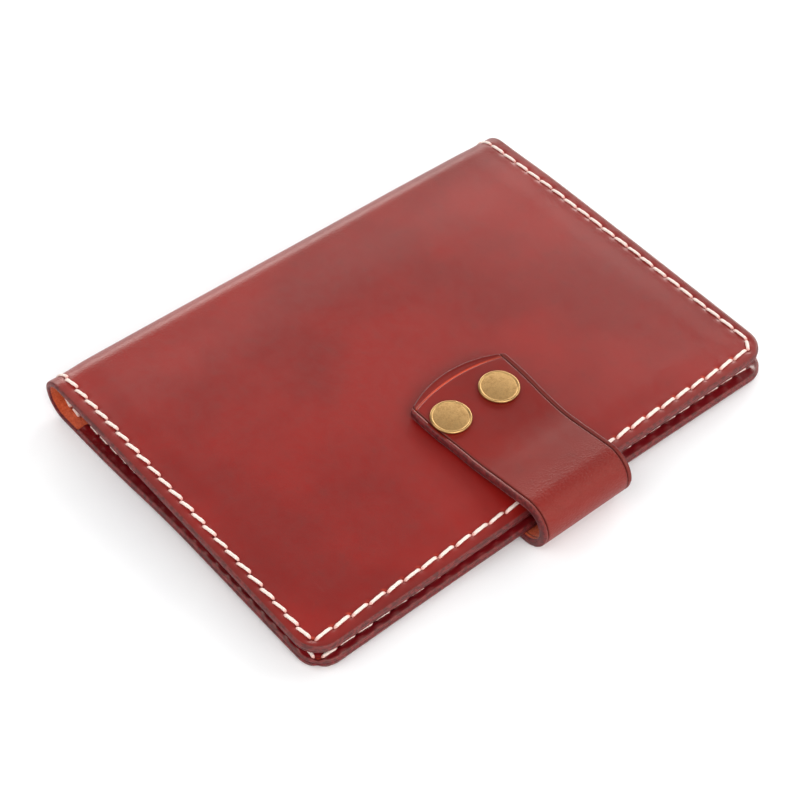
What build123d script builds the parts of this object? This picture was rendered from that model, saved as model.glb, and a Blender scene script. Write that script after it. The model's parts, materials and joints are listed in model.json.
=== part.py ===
"""A leather passport holder that folds like a book and closes with a strap and two snap fasteners.

The frame: X runs from the spine (-X) to the fore-edge (+X), Y runs along the spine, +Z is up and the
holder lies on Z = 0. The outer leather is one sheet that is followed as a line in the XZ plane: along the
back cover, round the spine and along the front cover. A depth is measured from its outer face inwards.
Every size is in millimetres.
"""
import math
import os

from build123d import *

os.makedirs("parts", exist_ok=True)

# ---- Covers ----
HEIGHT = 141.2  # along the spine
HALF_HEIGHT = HEIGHT / 2
COVER = 1.4  # thickness of the outer leather
POCKET = 0.9  # thickness of the inner panels
SLEEVE = 0.6  # slot between cover and panel, for the board of a passport
RIM = 5.5  # width along the edges where the panel is glued and stitched to the cover
CORNER_R = 6.5
STRAP = 2.0  # thickness of the strap leather, which also lifts the back cover at the fore-edge

BACK_EDGE_X = 48.7  # fore-edge of the back cover
FRONT_EDGE_X = 47.6  # fore-edge of the front cover, set back a little
SPINE_R = 6.2  # outer radius of the folded spine
FOLD_X = -49.2  # where the back cover ends and the spine's round begins
FOLD_GAP = 0.5  # running gap between the pieces that the outer leather is divided into
FORE_EDGE_TOP = 7.8  # height of the front cover's outer face at the fore-edge
POCKET_EDGE_X = -43.0  # free edge of the inner panels, near the spine

# The back cover lies level over the strap, then sinks to the table in two opposite bends.
RISE_X = 4.0
LEVEL_X = -40.0
BEND_ANGLE = 2 * math.degrees(math.atan(STRAP / (RISE_X - LEVEL_X)))
BEND_R = (RISE_X - LEVEL_X) / 2 / math.sin(math.radians(BEND_ANGLE))

FRONT_SLOPE = math.degrees(math.atan((2 * SPINE_R - FORE_EDGE_TOP) / (FRONT_EDGE_X - FOLD_X)))

# The spine's round, as angles seen along -Y, from the back cover to the front cover.
SPINE_GAP_ANGLE = math.degrees(FOLD_GAP / SPINE_R)
SPINE_FIRST = 270 - SPINE_GAP_ANGLE
SPINE_LAST = 90 - FRONT_SLOPE + SPINE_GAP_ANGLE

# ---- Stitching ----
STITCH_INSET = 3.5
STITCH_PITCH = 4.2
STITCH_LENGTH = 3.3
THREAD_WIDTH = 0.8
THREAD_THICK = 0.35
GROOVE_WIDTH = 1.0
GROOVE_DEPTH = 0.45
THREAD_CLEAR = 0.06  # keeps a stitch off the bottom of its groove
CORNER_GAP = 0.4  # between the stitches that meet at a corner

# ---- Strap ----
STRAP_WIDTH = 29.0
STRAP_Y = 2.7
LOOP_R = 6.6  # outer radius of the loop round the fore-edge
LOOP_X = 48.8  # centre of the loop
TAB_SLOPE = 7.0  # the tab comes down from the loop this steeply, until it lies along the front cover
TAB_BEND_R = 45.0
TAB_LIFT = 0.7  # between the front cover and the tab where it lies along it
TIP_X = 6.3
TIP_R = 27.0  # radius of the rounded ends in plan
ANCHOR_STITCH_INSET = 3.0
STRAP_GAP = 0.5  # running gap between the pieces that the strap is divided into
TIP_SPARE = 1.0  # how far the tab is drawn past its tip before the tip is cut round

# ---- Snap fasteners ----
SNAP_X = 17.8
SNAP_PITCH = 15.0
SNAP_OFF_CENTRE = -1.35  # the pair sits a little nearer one edge of the strap
CAP_R = 5.0
CAP_RIM = 0.7
CAP_DOME = 0.45
CAP_ROUND = 0.3  # how far the rolled rim bulges
STEM_R = 1.3
HOLE_R = 1.4
SOCKET_R = 4.5
SOCKET_HEIGHT = 1.5
SOCKET_SUNK = 1.0  # how far the socket is let into the strap
SOCKET_WEB = 0.4
SOCKET_BORE_R = 2.6
SOCKET_BEVEL = 0.4
STUD_FLANGE_R = 3.25
STUD_FLANGE = 0.5
STUD_SUNK = 0.4  # how far the stud's flange presses into the leather
KNOB_R = 2.2
KNOB_TOP = 1.2
KNOB_WAIST = 0.3  # how far the waist is set in
WAIST_HEIGHT = 0.4
WAIST_SLOPE = 0.2
POST_FLANGE_R = 4.0
POST_FLANGE = 0.45
POST_END = 0.9


# ---- The outer leather's line: each function draws in the current BuildLine, X first and Z second ----
def back_curve(depth, edge_x=BACK_EDGE_X, end_x=FOLD_X + FOLD_GAP):
    """The back cover's line at a depth, from the fore-edge towards the spine. Returns its two ends."""
    level = Line((edge_x, STRAP + depth), (RISE_X, STRAP + depth))
    down = JernArc(level @ 1, (-1, 0), BEND_R + depth, BEND_ANGLE)
    out = JernArc(down @ 1, down % 1, BEND_R - depth, -BEND_ANGLE)
    low = Line(out @ 1, (end_x, depth))
    return level @ 0, low @ 1


def spine_curve(depth, first=SPINE_FIRST, last=SPINE_LAST):
    """The spine's line at a depth, round from the back cover to the front cover. Returns its two ends."""
    arc = CenterArc((FOLD_X, SPINE_R), SPINE_R - depth, first, last - first)
    return arc @ 0, arc @ 1


def strap_loop_curve(depth):
    """The strap's line round the fore-edge, from underneath to the top. Returns its two ends."""
    gap_angle = math.degrees(STRAP_GAP / LOOP_R)
    arc = CenterArc((LOOP_X, LOOP_R), LOOP_R - depth, -90 + gap_angle, 180 + TAB_SLOPE - 2 * gap_angle)
    return arc @ 0, arc @ 1


def tab_curve(depth):
    """The strap's line from the loop down to the front cover and along it. Returns its two ends."""
    down = Line(on_plane(loop_end, -STRAP_GAP, -depth), on_plane(loop_end, bend_start, -depth))
    bend = JernArc(down @ 1, down % 1, TAB_BEND_R - depth, -TAB_SLOPE - FRONT_SLOPE)
    tip = at_x(lying, TIP_X) - TIP_SPARE
    along = Line(bend @ 1, on_plane(lying, tip, -depth))
    return down @ 0, along @ 1


def slab(curve, near, far, half_width, middle=0.0, mode=Mode.ADD, **limits):
    """The sheet between two depths of a curve, extruded both ways along Y, in the current BuildPart."""
    with BuildSketch(Plane.XZ.offset(-middle)) as profile:
        with BuildLine():
            near_start, near_end = curve(near, **limits)
            far_start, far_end = curve(far, **limits)
            Line(near_start, far_start)
            Line(near_end, far_end)
        make_face()
    extrude(profile.sketch, amount=half_width, both=True, mode=mode)


def plane_on_round(x, radius, slope):
    """The plane that touches the top of a round standing on Z = 0, and rises by slope degrees along X."""
    tilt = math.radians(slope)
    return Plane(
        origin=(x - radius * math.sin(tilt), 0, radius + radius * math.cos(tilt)),
        x_dir=(math.cos(tilt), 0, math.sin(tilt)),
        z_dir=(-math.sin(tilt), 0, math.cos(tilt)),
    )


def at_x(plane, x):
    """The distance along a tilted plane's own x axis at which it reaches a global X."""
    return (x - plane.origin.X) / plane.x_dir.X


def on_plane(plane, along, height):
    """The X and Z of the point that is so far along a tilted plane's x axis, at a height above it."""
    point = plane.from_local_coords((along, 0, height))
    return point.X, point.Z


front_face = plane_on_round(FOLD_X, SPINE_R, -FRONT_SLOPE)
FRONT_LENGTH = at_x(front_face, FRONT_EDGE_X)
snap_y = STRAP_Y + SNAP_OFF_CENTRE
snap_along = at_x(front_face, SNAP_X)
snap_seats = [(snap_along, snap_y - SNAP_PITCH / 2), (snap_along, snap_y + SNAP_PITCH / 2)]

# The tab's outer face follows one plane down from the loop and another along the front cover.
loop_end = plane_on_round(LOOP_X, LOOP_R, TAB_SLOPE)
lying = front_face.offset(TAB_LIFT + STRAP)
meet = lying.z_dir.dot(lying.origin - loop_end.origin) / lying.z_dir.dot(loop_end.x_dir)
bend_start = meet + TAB_BEND_R * math.tan(math.radians(TAB_SLOPE + FRONT_SLOPE) / 2)


# ---- Stitches ----
def evenly(start, stop):
    """Middles of stitches at about the pitch, spread evenly from start to stop."""
    count = round(abs(stop - start) / STITCH_PITCH)
    return [start + (stop - start) * (i + 0.5) / count for i in range(count)]


def stitch():
    """One stitch, lying along x at every current location, just clear of the groove's bottom."""
    Box(STITCH_LENGTH, THREAD_WIDTH, THREAD_THICK, align=(Align.CENTER, Align.CENTER, Align.MIN))


def path_of(curve, depth, **limits):
    """The curve at a depth as a wire in space."""
    with BuildLine(Plane.XZ) as path:
        curve(depth, **limits)
    return path.wires()[0]


def places_along(path, y, outward):
    """Where stitches lie along a wire, at a Y; outward is 1 for the outer face and -1 for the inner."""
    places = []
    for distance in evenly(0, path.length):
        point, tangent = path @ (distance / path.length), path % (distance / path.length)
        # The leather's outer side is on the left of a path that runs from the fore-edge to the spine.
        normal = Vector(tangent.Z, 0, -tangent.X).multiply(-outward)
        places.append(Plane(origin=(point.X, y, point.Z), x_dir=tangent, z_dir=normal).location)
    return places


def sew_path(curve, depth, outward, **limits):
    """Two rows of stitches, near both ends of the spine, in a groove whose bottom is at a depth."""
    path = path_of(curve, depth - outward * THREAD_CLEAR, **limits)
    for side in (-1, 1):
        with Locations(*places_along(path, side * (HALF_HEIGHT - STITCH_INSET), outward)):
            stitch()


def sew_rows(plane, rows):
    """Rows of stitches on a plane: each is ((x, y), (x, y)), from one end to the other."""
    for (x0, y0), (x1, y1) in rows:
        along_x = y0 == y1
        middles = evenly(x0, x1) if along_x else evenly(y0, y1)
        turn = 0 if along_x else 90
        spots = [(m, y0) if along_x else (x0, m) for m in middles]
        with Locations(plane):
            with Locations(*[Location((x, y, 0), (0, 0, turn)) for x, y in spots]):
                stitch()


def write(builder, name):
    """Labels a finished piece and writes it as a STEP file."""
    builder.part.label = name
    export_step(builder.part, f"parts/{name}.step")


ROW_Y = HALF_HEIGHT - STITCH_INSET
BACK_ROW_X = BACK_EDGE_X - STITCH_INSET
FRONT_ROW_X = FRONT_LENGTH - STITCH_INSET
HALF_GROOVE = GROOVE_WIDTH / 2
HALF_THICK = COVER + POCKET  # a cover and its panel at the rim

# ---- Back cover: the outer leather under the passport ----
with BuildPart() as back_cover:
    slab(back_curve, 0, COVER, HALF_HEIGHT)
    fillet(back_cover.edges().filter_by(Axis.Z).group_by(Axis.X)[-1], CORNER_R)
    for side in (-1, 1):
        slab(back_curve, 0, GROOVE_DEPTH, HALF_GROOVE, side * ROW_Y, Mode.SUBTRACT,
             edge_x=BACK_ROW_X + HALF_GROOVE)
    with Locations((BACK_ROW_X, 0, STRAP)):
        Box(GROOVE_WIDTH, 2 * ROW_Y, GROOVE_DEPTH, mode=Mode.SUBTRACT,
            align=(Align.CENTER, Align.CENTER, Align.MIN))
write(back_cover, "back_cover")

# ---- Back pocket: the inner panel, glued along three edges and raised between them ----
with BuildPart() as back_pocket:
    slab(back_curve, COVER, HALF_THICK, HALF_HEIGHT, end_x=POCKET_EDGE_X)
    fillet(back_pocket.edges().filter_by(Axis.Z).group_by(Axis.X)[-1], CORNER_R)
    slab(back_curve, COVER, COVER + SLEEVE, HALF_HEIGHT - RIM, mode=Mode.SUBTRACT,
         edge_x=BACK_EDGE_X - RIM, end_x=POCKET_EDGE_X)
    slab(back_curve, COVER + SLEEVE, HALF_THICK + SLEEVE, HALF_HEIGHT - RIM,
         edge_x=BACK_EDGE_X - RIM, end_x=POCKET_EDGE_X)
    for side in (-1, 1):
        slab(back_curve, HALF_THICK - GROOVE_DEPTH, HALF_THICK, HALF_GROOVE, side * ROW_Y, Mode.SUBTRACT,
             edge_x=BACK_ROW_X + HALF_GROOVE, end_x=POCKET_EDGE_X)
    with Locations((BACK_ROW_X, 0, STRAP + HALF_THICK)):
        Box(GROOVE_WIDTH, 2 * ROW_Y, GROOVE_DEPTH, mode=Mode.SUBTRACT,
            align=(Align.CENTER, Align.CENTER, Align.MAX))
write(back_pocket, "back_pocket")

# ---- Spine: the outer leather where it folds ----
with BuildPart() as spine_fold:
    slab(spine_curve, 0, COVER, HALF_HEIGHT)
    for side in (-1, 1):
        slab(spine_curve, 0, GROOVE_DEPTH, HALF_GROOVE, side * ROW_Y, Mode.SUBTRACT)
        slab(spine_curve, COVER - GROOVE_DEPTH, COVER, HALF_GROOVE, side * ROW_Y, Mode.SUBTRACT)
write(spine_fold, "spine_fold")


# ---- Front cover: the outer leather over the passport, with the seats of the snap studs ----
def front_outline(start):
    """A panel of the front, from start along its slope to the fore-edge, in the current BuildSketch."""
    with Locations((start, 0)):
        Rectangle(FRONT_LENGTH - start, HEIGHT, align=(Align.MIN, Align.CENTER))
    fillet(vertices().group_by(Axis.X)[-1], CORNER_R)


def front_groove(start, top, depth):
    """Cuts the stitching groove on three sides of a front panel, downwards from top."""
    with BuildSketch(front_face.offset(top)) as groove:
        for side in (-1, 1):
            with Locations((start, side * ROW_Y)):
                Rectangle(FRONT_ROW_X - start, GROOVE_WIDTH, align=(Align.MIN, Align.CENTER))
        with Locations((FRONT_ROW_X, 0)):
            Rectangle(GROOVE_WIDTH, 2 * ROW_Y + GROOVE_WIDTH)
    extrude(groove.sketch, amount=-depth, mode=Mode.SUBTRACT)


with BuildPart() as front_cover:
    with BuildSketch(front_face):
        front_outline(FOLD_GAP)
    extrude(amount=-COVER)
    front_groove(FOLD_GAP, 0, GROOVE_DEPTH)
    with BuildSketch(front_face):
        with Locations(*snap_seats):
            Circle(STUD_FLANGE_R + THREAD_CLEAR)
    extrude(amount=-STUD_SUNK - THREAD_CLEAR, mode=Mode.SUBTRACT)
    with BuildSketch(front_face):
        with Locations(*snap_seats):
            Circle(HOLE_R)
    extrude(amount=-COVER, mode=Mode.SUBTRACT)
    with BuildSketch(front_face.offset(-COVER)):
        with Locations(*snap_seats):
            Circle(POST_FLANGE_R + THREAD_CLEAR)
    extrude(amount=POST_FLANGE + THREAD_CLEAR, mode=Mode.SUBTRACT)
write(front_cover, "front_cover")

# ---- Front pocket: the inner panel of the front ----
pocket_start = at_x(front_face, POCKET_EDGE_X)
with BuildPart() as front_pocket:
    with BuildSketch(front_face.offset(-COVER)):
        front_outline(pocket_start)
    extrude(amount=-POCKET)
    with BuildSketch(front_face.offset(-COVER)):
        with Locations((pocket_start, 0)):
            Rectangle(FRONT_LENGTH - RIM - pocket_start, HEIGHT - 2 * RIM, align=(Align.MIN, Align.CENTER))
    extrude(amount=-SLEEVE, mode=Mode.SUBTRACT)
    with BuildSketch(front_face.offset(-HALF_THICK)):
        with Locations((pocket_start, 0)):
            Rectangle(FRONT_LENGTH - RIM - pocket_start, HEIGHT - 2 * RIM, align=(Align.MIN, Align.CENTER))
    extrude(amount=-SLEEVE)
    front_groove(pocket_start, -HALF_THICK, -GROOVE_DEPTH)
write(front_pocket, "front_pocket")

# ---- Thread: a saddle stitch through cover and panel, seen on both faces ----
row_ends = [(BACK_ROW_X, -ROW_Y + CORNER_GAP), (BACK_ROW_X, ROW_Y - CORNER_GAP)]
with BuildPart() as back_thread:
    sew_path(back_curve, GROOVE_DEPTH, 1, edge_x=BACK_ROW_X - CORNER_GAP)
    sew_path(back_curve, HALF_THICK - GROOVE_DEPTH, -1, edge_x=BACK_ROW_X - CORNER_GAP, end_x=POCKET_EDGE_X)
    under = Plane(origin=(0, 0, STRAP + GROOVE_DEPTH - THREAD_CLEAR), x_dir=(1, 0, 0), z_dir=(0, 0, -1))
    sew_rows(under, [[(x, -y) for x, y in row_ends]])
    sew_rows(Plane.XY.offset(STRAP + HALF_THICK - GROOVE_DEPTH + THREAD_CLEAR), [row_ends])
write(back_thread, "back_thread")

outside = GROOVE_DEPTH - THREAD_CLEAR
inside = COVER - GROOVE_DEPTH + THREAD_CLEAR
spine_stitches = round(math.pi * SPINE_R / STITCH_PITCH)
spine_step = (SPINE_LAST - SPINE_FIRST) / spine_stitches
with BuildPart() as spine_thread:
    for i in range(spine_stitches):
        middle = SPINE_FIRST + (i + 0.5) * spine_step
        span = {
            "first": middle - spine_step / 2 * STITCH_LENGTH / STITCH_PITCH,
            "last": middle + spine_step / 2 * STITCH_LENGTH / STITCH_PITCH,
        }
        for side in (-1, 1):
            slab(spine_curve, outside - THREAD_THICK, outside, THREAD_WIDTH / 2, side * ROW_Y, **span)
            slab(spine_curve, inside, inside + THREAD_THICK, THREAD_WIDTH / 2, side * ROW_Y, **span)
write(spine_thread, "spine_thread")


def front_rows(start):
    """The three rows of stitches of a front panel."""
    end = FRONT_ROW_X - CORNER_GAP
    return [
        [(start, -ROW_Y), (end, -ROW_Y)],
        [(FRONT_ROW_X, -ROW_Y + CORNER_GAP), (FRONT_ROW_X, ROW_Y - CORNER_GAP)],
        [(end, ROW_Y), (start, ROW_Y)],
    ]


front_inside = Plane(
    origin=front_face.offset(-HALF_THICK + GROOVE_DEPTH - THREAD_CLEAR).origin,
    x_dir=front_face.x_dir,
    z_dir=-front_face.z_dir,
)
with BuildPart() as front_thread:
    sew_rows(front_face.offset(-GROOVE_DEPTH + THREAD_CLEAR), front_rows(FOLD_GAP))
    sew_rows(front_inside, front_rows(pocket_start))
write(front_thread, "front_thread")


# ---- Strap ----
def strap_outline():
    """The strap in plan, from past the loop to the rounded tip, as a face on Z = 0."""
    half = STRAP_WIDTH / 2
    root = LOOP_X + LOOP_R
    shoulder = TIP_X + TIP_R - math.sqrt(TIP_R**2 - half**2)
    with BuildSketch(Plane.XY) as outline:
        with BuildLine():
            Polyline((shoulder, STRAP_Y - half), (root, STRAP_Y - half), (root, STRAP_Y + half),
                     (shoulder, STRAP_Y + half))
            ThreePointArc((shoulder, STRAP_Y + half), (TIP_X, STRAP_Y), (shoulder, STRAP_Y - half))
        make_face()
    return outline.sketch


anchor_end = LOOP_X - STRAP_GAP
anchor_row_x = TIP_X + 2 * ANCHOR_STITCH_INSET
anchor_row_end = BACK_EDGE_X - RIM
anchor_half = STRAP_WIDTH / 2 - ANCHOR_STITCH_INSET
with BuildPart() as strap_anchor:
    with Locations((anchor_end, STRAP_Y, 0)):
        Box(anchor_end, STRAP_WIDTH, STRAP, align=(Align.MAX, Align.CENTER, Align.MIN))
    extrude(strap_outline(), amount=STRAP, mode=Mode.INTERSECT)
    with BuildSketch(Plane.XY):
        with Locations((anchor_row_x, STRAP_Y)):
            Rectangle(GROOVE_WIDTH, 2 * anchor_half + GROOVE_WIDTH)
        for side in (-1, 1):
            with Locations((anchor_row_x, STRAP_Y + side * anchor_half)):
                Rectangle(anchor_row_end - anchor_row_x, GROOVE_WIDTH, align=(Align.MIN, Align.CENTER))
    extrude(amount=GROOVE_DEPTH, mode=Mode.SUBTRACT)
write(strap_anchor, "strap_anchor")

with BuildPart() as strap_loop:
    slab(strap_loop_curve, 0, STRAP, STRAP_WIDTH / 2, STRAP_Y)
write(strap_loop, "strap_loop")

with BuildPart() as strap_tab:
    slab(tab_curve, 0, STRAP, STRAP_WIDTH / 2, STRAP_Y)
    extrude(strap_outline(), amount=3 * LOOP_R, mode=Mode.INTERSECT)  # higher than the tab reaches
    with BuildSketch(lying):
        with Locations(*snap_seats):
            Circle(HOLE_R)
    extrude(amount=-STRAP, mode=Mode.SUBTRACT)
    with BuildSketch(lying.offset(-STRAP)):
        with Locations(*snap_seats):
            Circle(SOCKET_R + THREAD_CLEAR)
    extrude(amount=SOCKET_SUNK + THREAD_CLEAR, mode=Mode.SUBTRACT)
write(strap_tab, "strap_tab")

strap_under = Plane(origin=(0, 0, GROOVE_DEPTH - THREAD_CLEAR), x_dir=(1, 0, 0), z_dir=(0, 0, -1))
with BuildPart() as strap_thread:
    near_y, far_y = -STRAP_Y - anchor_half, -STRAP_Y + anchor_half
    first_x = anchor_row_x + CORNER_GAP
    sew_rows(strap_under, [
        [(first_x, near_y), (anchor_row_end, near_y)],
        [(anchor_row_x, near_y + CORNER_GAP), (anchor_row_x, far_y - CORNER_GAP)],
        [(first_x, far_y), (anchor_row_end, far_y)],
    ])
write(strap_thread, "strap_thread")


# ---- Snap fasteners: each is a cap and socket on the tab, and a stud and post on the front cover ----
def turned(place, draw):
    """A round part: draw makes its half profile, X out from the axis and Y along it, at a Location."""
    with BuildPart() as made:
        with BuildSketch(Plane.XZ):
            with BuildLine():
                draw()
            make_face()
        revolve(axis=Axis.Z)
    with BuildPart() as placed:
        with Locations(place):
            add(made.part)
    return placed


def cap_profile():
    """A low dome with a rolled rim, and a stem that goes down through the strap into the socket."""
    stem_end = -STRAP + SOCKET_SUNK - SOCKET_WEB
    crown_edge = CAP_R - CAP_ROUND
    side = Polyline((0, CAP_RIM + CAP_DOME), (0, stem_end), (STEM_R, stem_end), (STEM_R, 0),
                    (crown_edge, 0))
    rim = ThreePointArc(side @ 1, (CAP_R, CAP_RIM / 2), (crown_edge, CAP_RIM))
    crown_r = (crown_edge**2 + CAP_DOME**2) / (2 * CAP_DOME)
    half_r = crown_edge / 2
    half_z = CAP_RIM + CAP_DOME - crown_r + math.sqrt(crown_r**2 - half_r**2)
    ThreePointArc(rim @ 1, (half_r, half_z), side @ 0)


def socket_profile():
    """A cup that opens downwards, with a hole in its web for the cap's stem."""
    top = SOCKET_SUNK
    rim = top - SOCKET_HEIGHT
    web = top - SOCKET_WEB
    Polyline((HOLE_R, top), (SOCKET_R - SOCKET_BEVEL, top), (SOCKET_R, top - SOCKET_BEVEL),
             (SOCKET_R, rim), (SOCKET_BORE_R, rim), (SOCKET_BORE_R, web), (HOLE_R, web), close=True)


def stud_profile():
    """A flange pressed into the cover, and a waisted knob that the socket snaps over."""
    flange_top = STUD_FLANGE - STUD_SUNK
    waist_r = KNOB_R - KNOB_WAIST
    waist_z = flange_top + WAIST_HEIGHT
    Polyline((HOLE_R, -STUD_SUNK), (STUD_FLANGE_R, -STUD_SUNK), (STUD_FLANGE_R, flange_top),
             (waist_r, flange_top), (waist_r, waist_z), (KNOB_R, waist_z + WAIST_SLOPE),
             (waist_r, KNOB_TOP), (HOLE_R, KNOB_TOP), close=True)


def post_profile():
    """A flange inside the cover, and a stem that holds the stud."""
    floor = -COVER
    Polyline((0, floor), (POST_FLANGE_R, floor), (POST_FLANGE_R, floor + POST_FLANGE),
             (STEM_R, floor + POST_FLANGE), (STEM_R, POST_END), (0, POST_END), close=True)


for name, seat in zip(("near", "far"), snap_seats):
    on_tab = lying.location * Location((*seat, 0))
    under_tab = lying.offset(-STRAP).location * Location((*seat, 0))
    on_cover = front_face.location * Location((*seat, 0))
    write(turned(on_tab, cap_profile), f"snap_cap_{name}")
    write(turned(under_tab, socket_profile), f"snap_socket_{name}")
    write(turned(on_cover, stud_profile), f"snap_stud_{name}")
    write(turned(on_cover, post_profile), f"snap_post_{name}")
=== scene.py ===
"""The looks of a folding leather passport holder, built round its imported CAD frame.

Lengths are in millimetres until a mesh is made, and MM turns them into Blender's metres. A leather panel is
followed by u, from its free end, and v, across it, and d is a depth below its outer face.
"""

import json
import math

import bpy
import numpy as np
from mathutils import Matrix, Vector


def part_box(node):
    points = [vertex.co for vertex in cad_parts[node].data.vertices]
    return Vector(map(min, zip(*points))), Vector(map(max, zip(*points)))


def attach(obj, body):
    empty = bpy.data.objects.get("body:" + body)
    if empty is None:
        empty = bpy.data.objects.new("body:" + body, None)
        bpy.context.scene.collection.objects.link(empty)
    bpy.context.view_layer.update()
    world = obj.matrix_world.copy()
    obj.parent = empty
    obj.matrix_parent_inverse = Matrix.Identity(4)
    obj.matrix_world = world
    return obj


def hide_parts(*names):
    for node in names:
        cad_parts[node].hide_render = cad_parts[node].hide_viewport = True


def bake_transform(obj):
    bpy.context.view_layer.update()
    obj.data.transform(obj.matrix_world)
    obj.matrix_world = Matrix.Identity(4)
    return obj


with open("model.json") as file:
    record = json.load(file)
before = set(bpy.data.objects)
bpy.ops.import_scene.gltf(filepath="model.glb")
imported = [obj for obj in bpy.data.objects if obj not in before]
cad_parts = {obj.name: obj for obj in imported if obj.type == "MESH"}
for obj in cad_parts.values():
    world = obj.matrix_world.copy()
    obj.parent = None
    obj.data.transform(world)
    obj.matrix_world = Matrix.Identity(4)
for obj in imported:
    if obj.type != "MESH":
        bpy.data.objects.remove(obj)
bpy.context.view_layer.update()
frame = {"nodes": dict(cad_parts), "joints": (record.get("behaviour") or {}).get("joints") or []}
MM = 0.001


# ---- Sizes, from the frame ----
joints = {j["name"]: j for j in frame["joints"]}
HINGE_SHARE = 0.792  # of a fold's radius, from where the fold begins to the two hinges that stand for it


def fold_of(lower, upper):
    """The X of a fold's hinges and the outer radius of the fold."""
    low, high = joints[lower]["pos_m"], joints[upper]["pos_m"]
    return low[0] / MM, (low[2] + high[2]) / 2 / MM


def box_mm(node):
    """A node's lowest and highest corners in millimetres."""
    low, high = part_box(node)
    return [c / MM for c in low], [c / MM for c in high]


spine_hinge_x, SPINE_R = fold_of("cover_lower_fold", "cover_upper_fold")
FOLD_X = spine_hinge_x + HINGE_SHARE * SPINE_R
loop_hinge_x, LOOP_R = fold_of("strap_lower_bend", "strap_upper_bend")
LOOP_X = loop_hinge_x - HINGE_SHARE * LOOP_R

anchor_low, anchor_high = box_mm("strap_anchor")
back_high = box_mm("back_cover")[1]
STRAP = anchor_high[2]
STRAP_Y = (anchor_low[1] + anchor_high[1]) / 2
STRAP_HALF = (anchor_high[1] - anchor_low[1]) / 2
TIP_X = anchor_low[0]
HALF_HEIGHT = back_high[1]
BACK_EDGE_X = back_high[0]
FRONT_EDGE_X = box_mm("front_cover")[1][0]
POCKET_EDGE_X = box_mm("back_pocket")[0][0]
cap_low, cap_high = box_mm("snap_cap_near")
CAP_R = (cap_high[1] - cap_low[1]) / 2

COVER = 1.4  # thickness of the outer leather
POCKET = 0.9  # thickness of the inner panels
SLEEVE = 0.6  # height of the slot between them
CORNER_R = 6.5
STITCH_INSET = 3.5  # of the rows from the edge, beside the spine
RISE_X, LEVEL_X = 4.0, -40.0  # between these the back cover comes down from the strap to the table
FORE_EDGE_TOP = 7.8  # height of the front cover's outer face at the fore-edge
TAB_SLOPE = 7.0  # degrees by which the strap rises from the front cover to its loop
TAB_BEND_R = 45.0  # of the bend between the tab's flat run and its sloping one
TAB_LIFT = 0.7  # the snaps hold the tab this far above the cover
TIP_R = 27.0  # of the arc at the strap's ends
FRONT_SLOPE = math.degrees(math.atan((2 * SPINE_R - FORE_EDGE_TOP) / (FRONT_EDGE_X - FOLD_X)))


# ---- Lines in the XZ plane ----
class Path:
    """A line of straight runs and arcs, followed by its length. Its outer side is on its left."""

    def __init__(self, x, z, heading):
        self.point = np.array([x, z], float)
        self.heading = math.radians(heading)
        self.runs = []
        self.length = 0.0

    def _add(self, length, curvature):
        self.runs.append((self.length, length, self.point.copy(), self.heading, curvature))
        self.point = self._on(self.runs[-1], length)[0]
        self.heading += length * curvature
        self.length += length
        return self

    @staticmethod
    def _on(run, along):
        """The point and heading at a distance along one run."""
        _, _, point, heading, curvature = run
        turned = heading + np.asarray(along) * curvature
        if curvature == 0:
            step = np.stack([math.cos(heading) * along, math.sin(heading) * along], -1)
        else:
            step = np.stack([np.sin(turned) - math.sin(heading), math.cos(heading) - np.cos(turned)], -1)
            step = step / curvature
        return point + step, turned

    def straight(self, length):
        return self._add(length, 0.0)

    def arc(self, radius, turn):
        """Turns by so many degrees, to the left if turn is positive."""
        return self._add(radius * math.radians(abs(turn)), math.copysign(1 / radius, turn))

    def at(self, s):
        """Points and outward normals at distances along the line."""
        s = np.asarray(s, float)
        points = np.zeros(s.shape + (2,))
        heading = np.zeros(s.shape)
        for run in self.runs:
            start = run[0]
            here = s >= start if start > 0 else np.full(s.shape, True)
            found, turned = self._on(run, s[here] - start)
            points[here] = found
            heading[here] = turned
        return points, np.stack([-np.sin(heading), np.cos(heading)], -1)


def cover_path():
    """The outer face of the cover, from the back half's fore-edge round the spine to the front's."""
    drop = RISE_X - LEVEL_X
    angle = 2 * math.degrees(math.atan(STRAP / drop))
    radius = drop / 2 / math.sin(math.radians(angle))
    path = Path(BACK_EDGE_X, STRAP, 180).straight(BACK_EDGE_X - RISE_X)
    path.arc(radius, angle).arc(radius, -angle).straight(LEVEL_X - FOLD_X)
    middle = path.length + math.pi / 2 * SPINE_R
    path.arc(SPINE_R, -180 - FRONT_SLOPE)
    path.straight((FRONT_EDGE_X - path.point[0]) / math.cos(math.radians(FRONT_SLOPE)))
    return path, middle


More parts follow.
